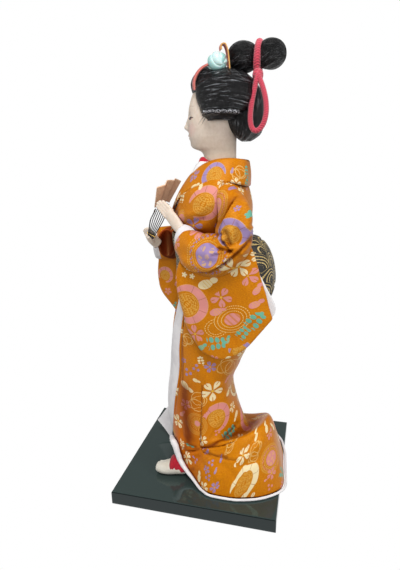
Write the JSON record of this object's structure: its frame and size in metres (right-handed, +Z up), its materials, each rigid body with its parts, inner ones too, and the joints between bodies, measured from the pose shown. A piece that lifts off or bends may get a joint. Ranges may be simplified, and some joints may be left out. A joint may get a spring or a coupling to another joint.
{
  "type": "geisha doll",
  "caption": "Standing doll of a geisha in an orange brocade kimono with a trailing hem, a folding fan in the hand, a dressed topknot and a square black lacquered plinth.",
  "frame": {"origin": "centre of the plinth's underside", "axes": "+Z up; the doll faces -Y; its left hand is on the +X side"},
  "size_m": [0.112, 0.1163, 0.2958],
  "materials": {
    "lacquer": "high-gloss black lacquer",
    "skin": "matte ivory paint, faintly pink cheeks",
    "hair": "glossy black strands laid side by side",
    "cord": "knitted pink-red cord",
    "brocade": "orange satin woven with flowers, arcs and gold lines",
    "sash": "black weave with gold concentric arcs",
    "white_cloth": "soft white cloth",
    "red_cloth": "plain red cloth",
    "sock": "off-white cloth",
    "paper": "tan folded paper",
    "rib": "thin black sticks, satin",
    "brass": "plain brass",
    "flower": "pale turquoise, softly shiny",
    "ribbon_orange": "orange-red ribbon with a gold edge",
    "ribbon_salmon": "salmon ribbon",
    "glitter": "thin silver glitter cord"
  },
  "bodies": {
    "root": {"plinth": "lacquer", "head": "skin", "hair_left": "hair", "hair_right": "hair", "hair_back": "hair", "hair_front": "hair", "topknot_front": "hair", "topknot_rear": "hair", "hair_cord": "cord", "hair_flower": "flower", "hair_curl": "ribbon_orange", "hair_ribbon": "ribbon_salmon", "hair_glitter_left": "glitter", "hair_glitter_right": "glitter", "inner_collar": "red_cloth", "under_collar": "white_cloth", "kimono_collar": "brocade", "kimono_bodice": "brocade", "obi_band": "sash", "obi_knot": "sash", "sleeve_left": "brocade", "sleeve_right": "brocade", "cuff_left": "white_cloth", "cuff_right": "white_cloth", "sleeve_lining_left": "white_cloth", "sleeve_lining_right": "white_cloth", "hand_left": "skin", "hand_right": "skin", "foot_left": "sock", "foot_right": "sock", "red_underskirt": "red_cloth", "under_robe": "white_cloth", "kimono_skirt": "brocade", "hem_roll": "white_cloth", "front_flap": "white_cloth", "fan_leaf": "paper", "fan_rib_1": "rib", "fan_rib_2": "rib", "fan_rib_3": "rib", "fan_rib_4": "rib", "fan_rib_5": "rib", "fan_rib_6": "rib", "fan_rib_7": "rib", "fan_rivet": "brass"}
  },
  "joints": []
}
